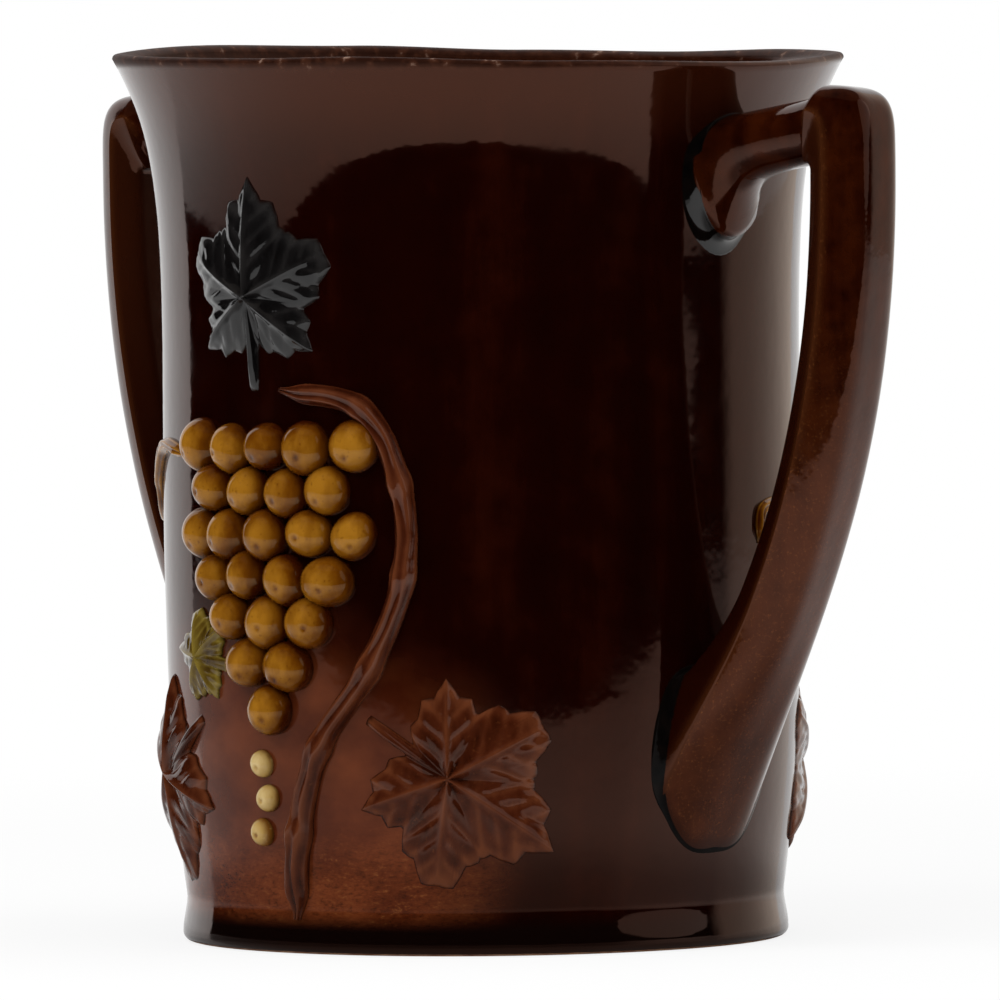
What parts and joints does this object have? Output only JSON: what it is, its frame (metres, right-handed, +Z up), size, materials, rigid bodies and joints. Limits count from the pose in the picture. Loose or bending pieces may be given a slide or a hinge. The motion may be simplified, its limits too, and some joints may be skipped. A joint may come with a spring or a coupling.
{
  "type": "loving cup",
  "caption": "Two-handled drinking cup in treacle-brown glazed earthenware, with a flared lip, waisted foot, strap handles and a fruiting vine in coloured relief.",
  "frame": {"origin": "on the axis of the cup, at the plane that the foot ring stands on", "axes": "+Z up the cup's axis, +X towards the right handle, -Y towards the front relief"},
  "size_m": [0.1882, 0.1286, 0.157],
  "materials": {
    "body_glaze": "gloss treacle-brown glaze, near black where thick",
    "handle_glaze": "gloss treacle-brown glaze breaking to orange-brown on edges",
    "slip_black": "near-black slip under gloss glaze",
    "slip_ochre": "golden ochre slip under gloss glaze",
    "slip_olive": "olive-green slip under gloss glaze",
    "slip_russet": "russet-brown slip under gloss glaze",
    "slip_cream": "cream slip under gloss glaze"
  },
  "bodies": {
    "root": {"cup_body": "body_glaze", "right_handle": "handle_glaze", "left_handle": "handle_glaze", "front_crown_leaf": "slip_black", "front_left_leaf": "slip_russet", "front_right_leaf": "slip_russet", "front_small_leaf": "slip_olive", "front_grape_bunch": "slip_ochre", "front_cane": "slip_russet", "front_tendril": "slip_ochre", "front_buds": "slip_cream", "back_crown_leaf": "slip_black", "back_left_leaf": "slip_russet", "back_right_leaf": "slip_russet", "back_small_leaf": "slip_olive", "back_grape_bunch": "slip_ochre", "back_cane": "slip_russet", "back_tendril": "slip_ochre", "back_buds": "slip_cream"}
  },
  "joints": []
}
